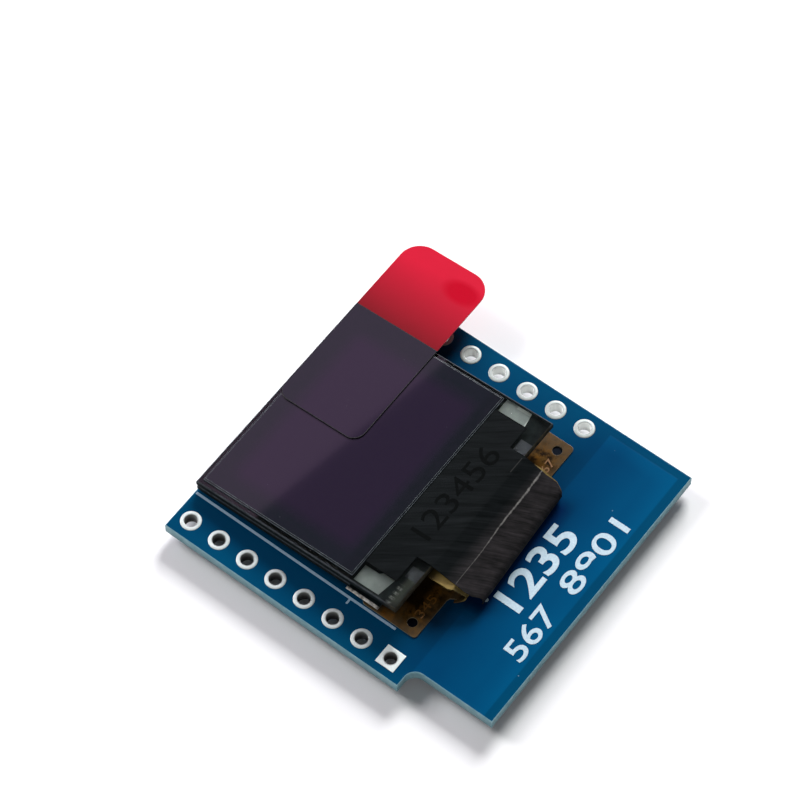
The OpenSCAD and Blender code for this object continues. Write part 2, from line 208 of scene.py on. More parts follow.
def mottled(tree, size, detail, contrast):
    return useGroup(tree, grain, Size=size, Detail=detail, Contrast=contrast)[0]


def within(tree, left, right, low, high, softness):
    return useGroup(tree, zone, Left=left, Right=right, Low=low, High=high, Softness=softness)[0]


def striped(tree, angle, pitch, wobble, length):
    return useGroup(tree, stripes, Angle=angle, Pitch=pitch, Wobble=wobble, Length=length)[0]


def dusted(tree, spacing, speck, share):
    return useGroup(tree, dust, Spacing=spacing, Speck=speck, Share=share)[0]


def newMaterial(name, settings):
    material = bpy.data.materials.new(name)
    material.use_nodes = True
    tree = material.node_tree
    shader = tree.nodes["Principled BSDF"]
    for label, value in settings.items():
        shader.inputs[label].default_value = (*value, 1) if label == "Base Color" else value
    return material, tree, shader


def blend(tree, mask, strength, base, colour):
    return mixColour(tree, maths(tree, "MULTIPLY", mask, strength), base, colour)


def paint(tree, shader, colour):
    tree.links.new(colour, shader.inputs["Base Color"])


def roughen(tree, shader, value):
    tree.links.new(value, shader.inputs["Roughness"])


def bump(tree, shader, height, depth, strength=1.0):
    node = addNode(tree, "ShaderNodeBump", {"Height": height, "Distance": depth * mm, "Strength": strength})
    tree.links.new(node.outputs[0], shader.inputs["Normal"])


# Finishes

def solderMaskFinish():
    look = {"deep": (0.0, 0.02, 0.07), "lit": (0.0, 0.08, 0.19), "pour": (0.0, 0.056, 0.125),
            "fold": (0.0, 0.006, 0.055), "speck": (0.25, 0.4, 0.5)}
    material, tree, shader = newMaterial("solderMask", {
        "Roughness": 0.15, "Specular IOR Level": 0.14})
    low = within(tree, -12.1, 12.1, -16.6, -10.7, 0.12)
    # painted shade: the board is painted darker towards the panel's foot, where the panel's shadow falls
    upper = within(tree, -12.1, 12.1, -13.4, -9.0, 2.4)
    rim = within(tree, -11.4, 11.6, -15.9, 9.4, 1.6)
    # painted shadow: the board under and in front of the flexible circuit's fold is painted dark, in the
    # colour fold
    bend = within(tree, -4.9, 5.6, -11.95, -9.0, 0.9)
    cloud = mottled(tree, 5.0, 2.0, 1.4)
    fine = mottled(tree, 0.09, 3.0, 1.0)
    specks = dusted(tree, 0.8, 0.04, 0.12)
    base = mixColour(tree, low, look["pour"], look["lit"])
    base = blend(tree, rim, 0.3, base, look["deep"])
    base = blend(tree, cloud, 0.35, base, look["deep"])
    base = blend(tree, upper, 0.4, base, look["deep"])
    base = blend(tree, bend, 0.7, base, look["fold"])
    # painted shade: the board seen through the tail's two holes is painted dark
    holes = [within(tree, x - 0.6, x + 0.6, -9.1, -7.8, 0.1) for x in (-8.35, 8.75)]
    base = mixColour(tree, holes[0], base, (0.001, 0.001, 0.004))
    base = mixColour(tree, holes[1], base, (0.008, 0.011, 0.018))
    base = blend(tree, specks, 0.5, base, look["speck"])
    paint(tree, shader, base)
    roughen(tree, shader, spread(tree, fine, 0.1, 0.2))
    height = maths(tree, "ADD", maths(tree, "MULTIPLY", fine, 0.1), low)
    bump(tree, shader, height, 0.01, 0.5)
    return material


def laminateFinish():
    material, tree, shader = newMaterial("laminate", {"Roughness": 0.55, "Specular IOR Level": 0.4})
    weave = striped(tree, 0.0, 0.06, 0.3, 0.8)
    speckle = mottled(tree, 0.5, 5.0, 1.8)
    height = axesOf(tree)[2]
    base = mixColour(tree, speckle, (0.1, 0.28, 0.36), (0.3, 0.46, 0.5))
    base = blend(tree, weave, 0.5, base, (0.17, 0.34, 0.36))
    base = mixColour(tree, spread(tree, height, 0.75, 0.0), base, (0.12, 0.22, 0.24))
    paint(tree, shader, base)
    bump(tree, shader, speckle, 0.02, 0.5)
    return material


def tinFinish(name="tin", dull=0.0, metal=0.35):
    material, tree, shader = newMaterial(name, {"Metallic": metal, "Base Color": (0.8, 0.81, 0.79)})
    wave = mottled(tree, 0.35, 3.0, 1.3)
    fine = mottled(tree, 0.05, 4.0, 1.2)
    base = mixColour(tree, wave, [part - dull for part in (0.4, 0.44, 0.43)],
                     [part - dull for part in (0.58, 0.62, 0.61)])
    axes = axesOf(tree)
    pitch = pinGrid["pitch"]
    acrossX = maths(tree, "SUBTRACT", maths(tree, "ABSOLUTE", axes[0]), pinGrid["rowX"])
    acrossY = maths(tree, "FRACT", maths(tree, "DIVIDE", axes[1], pitch))
    acrossY = maths(tree, "MULTIPLY_ADD", acrossY, pitch, -pitch / 2)
    reach = maths(tree, "SQRT", squaresOf(tree, acrossX, acrossY))
    wall = maths(tree, "MULTIPLY", maths(tree, "SUBTRACT", 0.515, reach, clamp=True), 30.0, clamp=True)
    # painted light inside the bores: the left row's walls get painted shade that deepens down the bore, the
    # right row's walls a near-white painted glow of the pale floor below
    depth = ramp(tree, axes[2], 0.95, 0.35)
    shade = mixColour(tree, depth, (0.24, 0.25, 0.24), (0.012, 0.009, 0.007))
    # painted light and painted shade: the right row of pads is painted lighter and the left row darker, as
    # the light falls from the right
    litRightRow = maths(tree, "GREATER_THAN", axes[0], 0.0)
    # painted shade: a darker ring where each pad turns down into its bore
    lip = maths(tree, "MULTIPLY", maths(tree, "SUBTRACT", 0.6, reach, clamp=True), 12.0, clamp=True)
    base = mixColour(tree, litRightRow, mixColour(tree, 1.0, base, (1.25, 1.28, 1.28), "MULTIPLY"),
                     mixColour(tree, 1.0, base, (0.72, 0.74, 0.73), "MULTIPLY"))
    base = blend(tree, lip, 0.45, base, (0.16, 0.18, 0.175))
    base = mixColour(tree, wall, base, mixColour(tree, litRightRow, shade, (0.9, 0.92, 0.9)))
    paint(tree, shader, base)
    bare = maths(tree, "SUBTRACT", 1.0, wall)
    tree.links.new(maths(tree, "MULTIPLY", bare, metal), shader.inputs["Metallic"])
    roughen(tree, shader, spread(tree, fine, 0.36, 0.52))
    bump(tree, shader, wave, 0.012, 0.4)
    return material


def inkFinish(name, colour, faded):
    material, tree, shader = newMaterial(name, {"Roughness": 0.55, "Specular IOR Level": 0.3})
    wearAndHighlight = mottled(tree, 0.14, 4.0, 1.8)
    paint(tree, shader, mixColour(tree, wearAndHighlight, colour, faded))
    bump(tree, shader, wearAndHighlight, 0.01, 0.4)
    return material


def clearGlassFinish():
    material, tree, shader = newMaterial("clearGlass", {
        "Base Color": (0.86, 0.93, 0.92), "IOR": 1.5, "Transmission Weight": 1.0, "Roughness": 0.02})
    smear = mottled(tree, 2.4, 3.0, 1.6)
    specks = dusted(tree, 0.9, 0.03, 0.35)
    rough = maths(tree, "ADD", spread(tree, smear, 0.0, 0.03), maths(tree, "MULTIPLY", specks, 0.3))
    roughen(tree, shader, rough)
    return material


def groundEdgeFinish(name, dark, light, contrast=2.4):
    # the glass edges at the ledge are painted darker: painted shade
    material, tree, shader = newMaterial(name, {
        "Roughness": 0.65, "Specular IOR Level": 0.06})
    scuffs = mottled(tree, 0.3, 6.0, contrast)
    ledge = within(tree, -20.0, 8.9, -20.0, -6.9, 0.8)
    base = mixColour(tree, scuffs, dark, light)
    ledgeEdgeShade = mixColour(tree, scuffs, (0.009, 0.008, 0.005), (0.05, 0.045, 0.032))
    paint(tree, shader, mixColour(tree, ledge, base, ledgeEdgeShade))
    fine = mottled(tree, 0.05, 4.0, 1.5)
    bump(tree, shader, fine, 0.006, 0.5)
    return material


def ledgeBackFinish():
    # painted shade under the ledge: its underside is painted dark, with a dull band and a row of small pale
    # fields at the left
    material, tree, shader = newMaterial("ledgeBack", {"Roughness": 0.5, "Specular IOR Level": 0.1})
    mottle = mottled(tree, 0.5, 5.0, 1.8)
    band = within(tree, -9.0, -5.7, -7.45, -6.75, 0.35)
    row = within(tree, -9.05, -7.3, -6.95, -6.6, 0.2)
    ragged = mottled(tree, 0.14, 2.0, 3.0)
    axes = axesOf(tree)
    beat = maths(tree, "GREATER_THAN", maths(tree, "FRACT", maths(tree, "DIVIDE", axes[0], 0.44)), 0.45)
    margin = within(tree, -20.0, 20.0, -3.45, 20.0, 0.1)
    base = mixColour(tree, mottle, (0.003, 0.006, 0.006), (0.014, 0.021, 0.02))
    base = mixColour(tree, margin, base, (0.03, 0.034, 0.045))
    base = blend(tree, band, 0.8, base, (0.065, 0.07, 0.055))
    fields = maths(tree, "MULTIPLY", maths(tree, "MULTIPLY", row, beat), spread(tree, ragged, 0.1, 1.0))
    base = mixColour(tree, fields, base, (0.27, 0.27, 0.25))
    paint(tree, shader, base)
    bump(tree, shader, mottle, 0.004, 0.3)
    return material


def displayFinish(name, speckled):
    look = {"border": (0.0085, 0.0105, 0.0155), "active": (0.0165, 0.0105, 0.0245),
            "end": (0.007, 0.009, 0.0125)}
    material, tree, shader = newMaterial(name, {"Roughness": 0.09, "Specular IOR Level": 0.5})
    active = within(tree, -7.3, 7.1, -2.35, 8.2, 1.2)
    foot = within(tree, -12.0, 12.0, -9.0, -2.6, 0.5)
    cloud = mottled(tree, 0.5, 5.0, 1.5)
    specks = dusted(tree, 0.55, 0.018, 0.2)
    base = mixColour(tree, active, look["border"], look["active"])
    base = mixColour(tree, foot, base, look["end"])
    base = blend(tree, cloud, 0.3, base, (0.019, 0.014, 0.026))
    base = blend(tree, specks, speckled, base, (0.09, 0.1, 0.11))
    paint(tree, shader, base)
    fine = mottled(tree, 0.06, 4.0, 1.0)
    roughen(tree, shader, spread(tree, fine, 0.02, 0.05))
    return material


def filmEdgeFinish(name, dark, light):
    material, tree, shader = newMaterial(name, {"Roughness": 0.4, "Specular IOR Level": 0.3})
    nicks = mottled(tree, 0.5, 6.0, 2.0)
    paint(tree, shader, mixColour(tree, nicks, dark, light))
    return material


def redFilmFinish():
    look = {"near": (0.165, 0.009, 0.014), "far": (0.54, 0.011, 0.034), "oval": (0.44, 0.0, 0.014)}
    material, tree, shader = newMaterial("redFilm", {
        "IOR": 1.45, "Transmission Weight": 0.03, "Roughness": 0.3, "Specular IOR Level": 0.03})
    axes = axesOf(tree)
    # painted light: the film is painted dark where it lies over the board and brighter towards its free end
    # over the pale floor, for the light coming through it
    outward = ramp(tree, axes[0], 9.2, 14.6)
    acrossX = maths(tree, "DIVIDE", maths(tree, "SUBTRACT", axes[0], 14.2), 0.9)
    acrossY = maths(tree, "DIVIDE", maths(tree, "SUBTRACT", axes[1], 4.2), 1.5)
    reach = squaresOf(tree, acrossX, acrossY)
    oval = maths(tree, "SUBTRACT", 1.5, reach, clamp=True)
    deep = mottled(tree, 1.6, 3.0, 1.2)
    base = mixColour(tree, outward, look["near"], look["far"])
    base = mixColour(tree, oval, base, look["oval"])
    base = blend(tree, deep, 0.25, base, (0.3, 0.01, 0.02))
    paint(tree, shader, base)
    fine = mottled(tree, 0.3, 4.0, 1.0)
    bump(tree, shader, fine, 0.006, 0.3)
    return material


def metalFilmFinish(name, dark, light, shade, shaded):
    # the left fields are shaded, and a thin pale line runs along the right field's outer and lower ends
    material, tree, shader = newMaterial(name, {"Metallic": 0.15})
    haze = mottled(tree, 0.6, 3.0, 1.5)
    lines = striped(tree, 1.5708, 0.05, 0.0, 6.0)
    inner = within(tree, -8.8, 8.88, -5.95, 0.0, 0.06)
    lined = within(tree, 0.0, 9.2, -6.4, -4.7, 0.1)
    leftSide = within(tree, -20.0, 0.0, -20.0, 20.0, 1.0)
    base = mixColour(tree, haze, dark, light)
    base = blend(tree, leftSide, shade, base, shaded)
    line = maths(tree, "MULTIPLY", maths(tree, "SUBTRACT", 1.0, inner), lined)
    base = mixColour(tree, line, base, (0.62, 0.66, 0.6))
    paint(tree, shader, base)
    roughen(tree, shader, spread(tree, lines, 0.35, 0.55))
    return material


def polyimideFinish():
    # the tail is brown with orange blotches and tan at its outer ends, with painted shade darkening its
    # middle and the part under the ledge; the neck is gold, with a painted highlight over the fold and
    # painted shade where it runs under the ledge
    look = {"brown": (0.095, 0.048, 0.01), "tan": (0.08, 0.056, 0.032), "dark": (0.0015, 0.0006, 0.0004),
            "orange": (0.17, 0.072, 0.008), "shade": (0.004, 0.004, 0.0035), "neck": (0.035, 0.024, 0.008),
            "foldHighlight": (0.21, 0.152, 0.052), "spot": (0.2, 0.085, 0.014), "bonded": (0.011, 0.012, 0.009)}
    material, tree, shader = newMaterial("polyimide", {
        "Roughness": 0.2, "Specular IOR Level": 0.2})
    blotch = mottled(tree, 0.32, 4.0, 4.5)
    haze = mottled(tree, 0.9, 4.0, 1.6)
    patches = mottled(tree, 0.55, 3.0, 3.0)
    # painted shade: the tail's middle, by the neck and the ledge, is painted dark
    middle = within(tree, -7.5, 7.2, -8.05, 20.0, 0.7)
    broad = within(tree, -8.3, 8.3, -8.9, -7.0, 1.3)
    # painted shade: the tail under the ledge is painted in the colour shade
    under = within(tree, -8.6, 9.0, -6.8, 20.0, 0.4)
    spot = within(tree, -10.0, -8.6, -7.1, -6.1, 0.3)
    axes = axesOf(tree)
    raised = ramp(tree, axes[2], 1.15, 1.35)
    # painted highlight: the neck is painted bright gold over the fold
    foldHighlight = within(tree, -20.0, 20.0, -12.0, -8.2, 1.1)
    # painted shade: the neck where it runs under the ledge is painted dark
    bonded = within(tree, -20.0, 20.0, -7.66, 20.0, 0.1)
    base = mixColour(tree, broad, look["tan"], look["brown"])
    base = blend(tree, blotch, spread(tree, broad, 0.25, 0.8), base, look["orange"])
    dim = maths(tree, "SUBTRACT", patches, 0.35, clamp=True)
    dim = maths(tree, "MULTIPLY", dim, spread(tree, broad, 0.3, 2.4))
    base = mixColour(tree, dim, base, look["dark"])
    base = mixColour(tree, middle, base, look["dark"])
    base = blend(tree, haze, 0.3, base, look["brown"])
    base = mixColour(tree, under, base, look["shade"])
    base = blend(tree, spot, spread(tree, blotch, 0.4, 1.0), base, look["spot"])
    gold = blend(tree, blotch, 0.2, mixColour(tree, foldHighlight, look["neck"], look["foldHighlight"]), look["neck"])
    base = mixColour(tree, raised, base, mixColour(tree, bonded, gold, look["bonded"]))
    paint(tree, shader, base)
    bump(tree, shader, blotch, 0.006, 0.3)
    return material


def tapeFinish():
    look = {"dark": (0.0012, 0.0022, 0.0024), "ridge": (0.0085, 0.0105, 0.0115),
            "warm": (0.046, 0.041, 0.044), "wearAndHighlight": (0.2, 0.196, 0.186)}
    material, tree, shader = newMaterial("shieldTape", {"Roughness": 0.5, "Specular IOR Level": 0.025})
    broad = striped(tree, 0.97, 0.42, 0.25, 5.0)
    fine = striped(tree, 0.92, 0.1, 0.2, 3.0)
    # painted light: the tape beyond the crease, down the slope, is painted in lighter tones
    near = within(tree, -20.0, 20.0, -20.0, -9.2, 1.1)
    ridges = maths(tree, "MULTIPLY_ADD", fine, 0.45, maths(tree, "MULTIPLY", broad, 0.55))
    ridges = ramp(tree, ridges, 0.38, 0.68)
    base = mixColour(tree, ridges, look["dark"], look["ridge"])
    warm = mixColour(tree, ridges, (0.014, 0.0135, 0.0135), look["warm"])
    base = mixColour(tree, near, base, warm)
    clouds = mottled(tree, 0.8, 4.0, 2.0)
    base = blend(tree, clouds, 0.45, base, (0.0035, 0.005, 0.0055))
    axes = axesOf(tree)
    # painted highlight: a pale line is painted along the crease, where the bend catches the light
    fold = maths(tree, "MULTIPLY_ADD", axes[0], crease["slant"], crease["middle"])
    swing = maths(tree, "SINE", maths(tree, "MULTIPLY_ADD", axes[0], crease["rate"], crease["start"]))
    fold = maths(tree, "MULTIPLY_ADD", swing, crease["wave"], fold)
    apart = maths(tree, "ABSOLUTE", maths(tree, "SUBTRACT", axes[1], fold))
    highlightBreakup = mottled(tree, 0.25, 5.0, 1.6)
    width = ramp(tree, axes[0], -6.0, 5.0, 0.025, 0.1)
    width = maths(tree, "MULTIPLY", width, spread(tree, highlightBreakup, 0.3, 1.6))
    wearAndHighlight = maths(tree, "MULTIPLY", maths(tree, "SUBTRACT", width, apart, clamp=True), 10.0, clamp=True)
    # painted highlight: a faint pale line along the glass's lower edge, under the tape
    ridge = within(tree, 4.2, 5.6, -7.58, -7.53, 0.05)
    wearAndHighlight = maths(tree, "MAXIMUM", wearAndHighlight, maths(tree, "MULTIPLY", ridge, 0.14))
    base = mixColour(tree, wearAndHighlight, base, look["wearAndHighlight"])
    paint(tree, shader, base)
    roughen(tree, shader, spread(tree, fine, 0.42, 0.62))
    bump(tree, shader, maths(tree, "ADD", fine, broad), 0.016, 0.5)
    return material


def stripFinish():
    # painted shade makes it dark, with a broad pale cut along its left end
    material, tree, shader = newMaterial("clearTape", {"Roughness": 0.3, "Specular IOR Level": 0.2})
    nicks = mottled(tree, 0.35, 5.0, 3.4)
    middle = within(tree, -8.99, 20.0, -20.0, 20.0, 0.04)
    pale = mixColour(tree, nicks, (0.1, 0.09, 0.08), (0.85, 0.82, 0.76))
    paint(tree, shader, mixColour(tree, middle, pale, (0.007, 0.012, 0.013)))
    bump(tree, shader, nicks, 0.01, 0.4)
    return material


def plainFinish(name, low, high, size, rough, depth, **settings):
    material, tree, shader = newMaterial(name, settings)
    pattern = mottled(tree, size, 5.0, 1.6)
    paint(tree, shader, mixColour(tree, pattern, low, high))
    roughen(tree, shader, spread(tree, pattern, rough - 0.08, rough + 0.08))
    bump(tree, shader, pattern, depth, 0.6)
    return material


finish = {
    "mask": solderMaskFinish(),
    "laminate": laminateFinish(),
    "tin": tinFinish(),
    "solder": tinFinish("solder", 0.1, 0.9),
    "silk": inkFinish("silkInk", (0.5, 0.62, 0.68), (0.34, 0.47, 0.56)),
    "silkLine": inkFinish("silkLineInk", (0.3, 0.42, 0.54), (0.2, 0.3, 0.4)),
    "stamp": plainFinish("stampInk", (0.001, 0.0016, 0.0016), (0.003, 0.0038, 0.0038), 0.3, 0.6, 0.002,
                         **{"Specular IOR Level": 0.015}),
    "glass": clearGlassFinish(),
    "glassEdge": groundEdgeFinish("groundGlassEdge", (0.002, 0.004, 0.005), (0.01, 0.015, 0.016)),
    "glassRim": groundEdgeFinish("glassRim", (0.018, 0.022, 0.027), (0.075, 0.086, 0.094), 1.8),
    "ledgeBack": ledgeBackFinish(),
    "display": displayFinish("polariserFilm", 0.4),
    "film": displayFinish("protectiveFilm", 0.8),
    "filmEdge": filmEdgeFinish("filmEdge", (0.03, 0.04, 0.045), (0.22, 0.26, 0.27)),
    "filmSide": filmEdgeFinish("filmSide", (0.055, 0.07, 0.085), (0.2, 0.245, 0.28)),
    "filmShade": filmEdgeFinish("filmShade", (0.002, 0.002, 0.003), (0.006, 0.006, 0.008)),
    "red": redFilmFinish(),
    "redEdge": filmEdgeFinish("redFilmEdge", (0.12, 0.004, 0.01), (0.5, 0.08, 0.1)),
    "contact": metalFilmFinish("contactFilm", (0.25, 0.28, 0.26), (0.38, 0.42, 0.38), 0.35,
                               (0.1, 0.11, 0.105)),
    "mark": metalFilmFinish("markFilm", (0.028, 0.034, 0.045), (0.05, 0.055, 0.065), 0.85,
                            (0.006, 0.01, 0.014)),
    "polyimide": polyimideFinish(),
    "flexEdge": plainFinish("flexEdge", (0.1, 0.08, 0.045), (0.2, 0.17, 0.11), 0.3, 0.4, 0.006),
    "copper": plainFinish("coveredCopper", (0.16, 0.058, 0.006), (0.3, 0.13, 0.022), 0.3, 0.35, 0.004),
    "tape": tapeFinish(),
    "foam": plainFinish("whiteFoam", (0.5, 0.5, 0.47), (0.72, 0.72, 0.68), 0.12, 0.85, 0.06),
    "strip": stripFinish(),
    "seal": plainFinish("sealResin", (0.02, 0.024, 0.022), (0.05, 0.05, 0.042), 0.2, 0.5, 0.02),
    "emissive": plainFinish("emissiveFilm", (0.02, 0.016, 0.03), (0.05, 0.04, 0.07), 1.0, 0.3, 0.004),
    "silicon": plainFinish("silicon", (0.05, 0.052, 0.06), (0.1, 0.1, 0.11), 0.3, 0.25, 0.004,
                           Metallic=0.5),
    "ceramic": plainFinish("capacitorCeramic", (0.3, 0.2, 0.11), (0.46, 0.33, 0.2), 0.06, 0.6, 0.01),
    "resistor": plainFinish("resistorCoat", (0.006, 0.006, 0.008), (0.02, 0.02, 0.024), 0.08, 0.35, 0.006),
}
print("finishes made:", len(finish))


# Making pieces

def sortFaces(shape, pick):
    if pick:
        for face in shape.faces:
            face.material_index = pick(face)


def baked(thing):
    # the mesh that an object shows once its modifiers and curves are worked out
    bpy.context.view_layer.update()
    return bpy.data.meshes.new_from_object(thing.evaluated_get(bpy.context.evaluated_depsgraph_get()))


def bakedDraft(name, data):
    draft = bpy.data.objects.new(name + "Draft", data)
    show(draft)
    mesh = baked(draft)
    bpy.data.objects.remove(draft)
    shape = bmesh.new()
    shape.from_mesh(mesh)
    return shape


def settle(piece, slotName, *cadNodes):
    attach(piece, "root")
    if cadNodes:
        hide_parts(*cadNodes)
    return piece


def recoat(node, look):
    # a CAD solid kept as it is, with its finish put on
    nodes[node].data.materials.clear()
    nodes[node].data.materials.append(finish[look])


def softShade(mesh, angle=22):
    mesh.shade_smooth()
    mesh.set_sharp_from_angle(angle=radians(angle))


def pieceFromShape(name, shape, materials):
    mesh = bpy.data.meshes.new(name)
    shape.to_mesh(mesh)
    shape.free()
    for material in materials:
        mesh.materials.append(material)
    softShade(mesh)
    piece = bpy.data.objects.new(name, mesh)
    show(piece)
    return piece


def refined(node, name, materials, chamfer=0.02, pick=None):
    # a CAD solid as clean polygons with its edges eased
    shape = bmesh.new()
    shape.from_mesh(nodes[node].data)
    bmesh.ops.remove_doubles(shape, verts=shape.verts, dist=0.0005 * mm)
    bmesh.ops.dissolve_limit(shape, angle_limit=radians(1), verts=shape.verts, edges=shape.edges)
    if chamfer:
        hard = [e for e in shape.edges if len(e.link_faces) == 2 and e.calc_face_angle() > radians(28)]
        bmesh.ops.bevel(shape, geom=hard, offset=chamfer * mm, segments=2, profile=0.6,
                        affect="EDGES", clamp_overlap=True)
    sortFaces(shape, pick)
    return pieceFromShape(name, shape, materials)


def dress(node, name, looks, slotName, chamfer=0.02, pick=None):
    return settle(refined(node, name, [finish[look] for look in looks], chamfer, pick), slotName, node)


def flatOutline(name, loops, low, high, materials, chamfer=0.02, pick=None):
    # a plate between two heights from closed outlines, the first outside and the rest holes
    curve = bpy.data.curves.new(name, "CURVE")
    curve.dimensions = "2D"
    curve.fill_mode = "BOTH"
    curve.extrude = ((high - low) / 2 - chamfer) * mm
    curve.bevel_depth = chamfer * mm
    curve.bevel_resolution = 1
    curve.offset = -chamfer * mm
    for loop in loops:
        line = curve.splines.new("POLY")
        line.points.add(len(loop) - 1)
        for point, (x, y) in zip(line.points, loop):
            point.co = (x * mm, y * mm, 0, 1)
        line.use_cyclic_u = True
    shape = bakedDraft(name, curve)
    bmesh.ops.remove_doubles(shape, verts=shape.verts, dist=0.0005 * mm)
    bmesh.ops.translate(shape, verts=shape.verts, vec=(0, 0, (low + high) / 2 * mm))
    bmesh.ops.recalc_face_normals(shape, faces=shape.faces)
    sortFaces(shape, pick)
    return pieceFromShape(name, shape, materials)


def arcPoints(centre, radius, start, end, steps):
    turns = [radians(start + (end - start) * i / steps) for i in range(steps + 1)]
    return [(centre[0] + radius * cos(turn), centre[1] + radius * sin(turn)) for turn in turns]


def ringAt(x, y, radius, steps=32):
    return arcPoints((x, y), radius, 0, 360 - 360 / steps, steps - 1)


def bandPiece(name, rows, thickness, materials, pick=None):
    # a sheet lofted through rows of points, thickened behind its face
    shape = bmesh.new()
    grid = [[shape.verts.new(Vector(p) * mm) for p in row] for row in rows]
    for lower, upper in zip(grid, grid[1:]):
        for a, b, c, d in zip(lower, lower[1:], upper[1:], upper):
            shape.faces.new((a, b, c, d))
    shape.normal_update()
    front = list(shape.faces)
    back = bmesh.ops.duplicate(shape, geom=list(shape.verts) + list(shape.edges) + front)
    pairs = back["vert_map"]
    for vert in [v for row in grid for v in row]:
        pairs[vert].co = vert.co + vert.normal * thickness * mm
    copies = [g for g in back["geom"] if isinstance(g, bmesh.types.BMFace)]
    bmesh.ops.reverse_faces(shape, faces=copies)
    rim = [e for e in shape.edges if len(e.link_faces) == 1 and e.verts[0] in pairs and e.verts[1] in pairs]
    fronts = {v for row in grid for v in row}
    for edge in [e for e in rim if e.verts[0] in fronts]:
        a, b = edge.verts
        shape.faces.new((a, b, pairs[b], pairs[a]))
    bmesh.ops.recalc_face_normals(shape, faces=shape.faces)
    sortFaces(shape, pick)
    return pieceFromShape(name, shape, materials)


# The board

boardSizes = {"side": 12.8, "top": 10.15, "foot": -17.32, "thick": 1.0, "notchTop": -10.5,
              "notchWide": 1.75, "notchRound": 0.9, "drill": 0.525}
pinY = [((pinGrid["count"] - 1) / 2 - i) * pinGrid["pitch"] for i in range(pinGrid["count"])]


def facesUp(face):
    return 0 if abs(face.normal.z) > 0.95 else 1


def makeBoard():
    b = boardSizes
    inner, r = -b["side"] + b["notchWide"], b["notchRound"]
    outline = [(b["side"], b["foot"]), (b["side"], b["top"]), (-b["side"], b["top"]),
               (-b["side"], b["notchTop"])]
    outline += arcPoints((inner - r, b["notchTop"] - r), r, 90, 0, 10)
    outline += [(inner, b["foot"])]
    holes = [ringAt(side * pinGrid["rowX"], y, b["drill"]) for side in (-1, 1) for y in pinY]
    board = flatOutline("board", [outline] + holes, 0.0, b["thick"],
                        [finish["mask"], finish["laminate"]], 0.045, facesUp)
    settle(board, "solder_mask", "printed_circuit_board")


makeBoard()
print("board made")


# Plated pin holes: a lathed ring in rows of eight, by a geometry tree

padSizes = {"hole": 0.475, "pad": 0.78, "rise": 0.05, "plating": 0.05}


def lathe(profile, steps=48):
    shape = bmesh.new()
    rings = []
    for i in range(steps):
        turn = 2 * pi * i / steps
        rings.append([shape.verts.new((r * cos(turn) * mm, r * sin(turn) * mm, z * mm))
                      for r, z in profile])
    for i in range(steps):
        near, far = rings[i], rings[(i + 1) % steps]
        for k in range(len(profile)):
            m = (k + 1) % len(profile)
            shape.faces.new((near[k], far[k], far[m], near[m]))
    bmesh.ops.recalc_face_normals(shape, faces=shape.faces)
    return shape


def padProfile(top, sign):
    # from the bore's mouth over the rounded ring to its foot
    hole, pad, rise = padSizes["hole"], padSizes["pad"], padSizes["rise"] * sign
    return [(hole, top - 0.02 * sign), (hole + 0.012, top + 0.6 * rise), (hole + 0.05, top + 0.95 * rise),
            (hole + 0.13, top + rise), (pad - 0.12, top + 0.94 * rise), (pad - 0.04, top + 0.7 * rise),
            (pad, top + 0.2 * rise), (pad - 0.01, top)]


def rowsTree(ring, metal):
    tree = bpy.data.node_groups.new("pinRows", "GeometryNodeTree")
    wanted = {"Pitch": ("NodeSocketFloat", pinGrid["pitch"] * mm),
              "Row Spacing": ("NodeSocketFloat", 2 * pinGrid["rowX"] * mm),
              "Pins": ("NodeSocketInt", pinGrid["count"])}
    for label, (kind, value) in wanted.items():
        tree.interface.new_socket(label, in_out="INPUT", socket_type=kind).default_value = value
    tree.interface.new_socket("Geometry", in_out="OUTPUT", socket_type="NodeSocketGeometry")
    entry, leave = tree.nodes.new("NodeGroupInput"), tree.nodes.new("NodeGroupOutput")
    gaps = maths(tree, "SUBTRACT", entry.outputs["Pins"], 1.0)
    top = maths(tree, "MULTIPLY", maths(tree, "MULTIPLY", gaps, entry.outputs["Pitch"]), 0.5)
    step = addNode(tree, "ShaderNodeCombineXYZ", {1: maths(tree, "MULTIPLY", entry.outputs["Pitch"], -1.0)})
    joined = tree.nodes.new("GeometryNodeJoinGeometry")
    for side in (1, -1):
        start = addNode(tree, "ShaderNodeCombineXYZ", {
            0: maths(tree, "MULTIPLY", entry.outputs["Row Spacing"], side / 2), 1: top})
        count = entry.outputs["Pins"] if side == 1 else gaps  # the left row's last pad is square
        line = addNode(tree, "GeometryNodeMeshLine", {
            "Count": count, "Start Location": start.outputs[0], "Offset": step.outputs[0]})
        tree.links.new(line.outputs[0], joined.inputs[0])
    source = addNode(tree, "GeometryNodeObjectInfo", {"Object": ring})
    placed = addNode(tree, "GeometryNodeInstanceOnPoints", {
        "Points": joined.outputs[0], "Instance": source.outputs["Geometry"]})
    solid = addNode(tree, "GeometryNodeRealizeInstances", {0: placed.outputs[0]})
    coated = addNode(tree, "GeometryNodeSetMaterial", {"Geometry": solid.outputs[0], "Material": metal})
    tree.links.new(coated.outputs[0], leave.inputs[0])
    return tree


def grown(name, tree):
    # runs a geometry tree on an empty mesh and keeps the result as a plain mesh
    piece = bpy.data.objects.new(name, bpy.data.meshes.new(name + "Seed"))
    show(piece)
    modifier = piece.modifiers.new("grow", "NODES")
    modifier.node_group = tree
    mesh = baked(piece)
    piece.modifiers.clear()
    mesh.name = name
    piece.data = mesh
    softShade(mesh)
    return piece


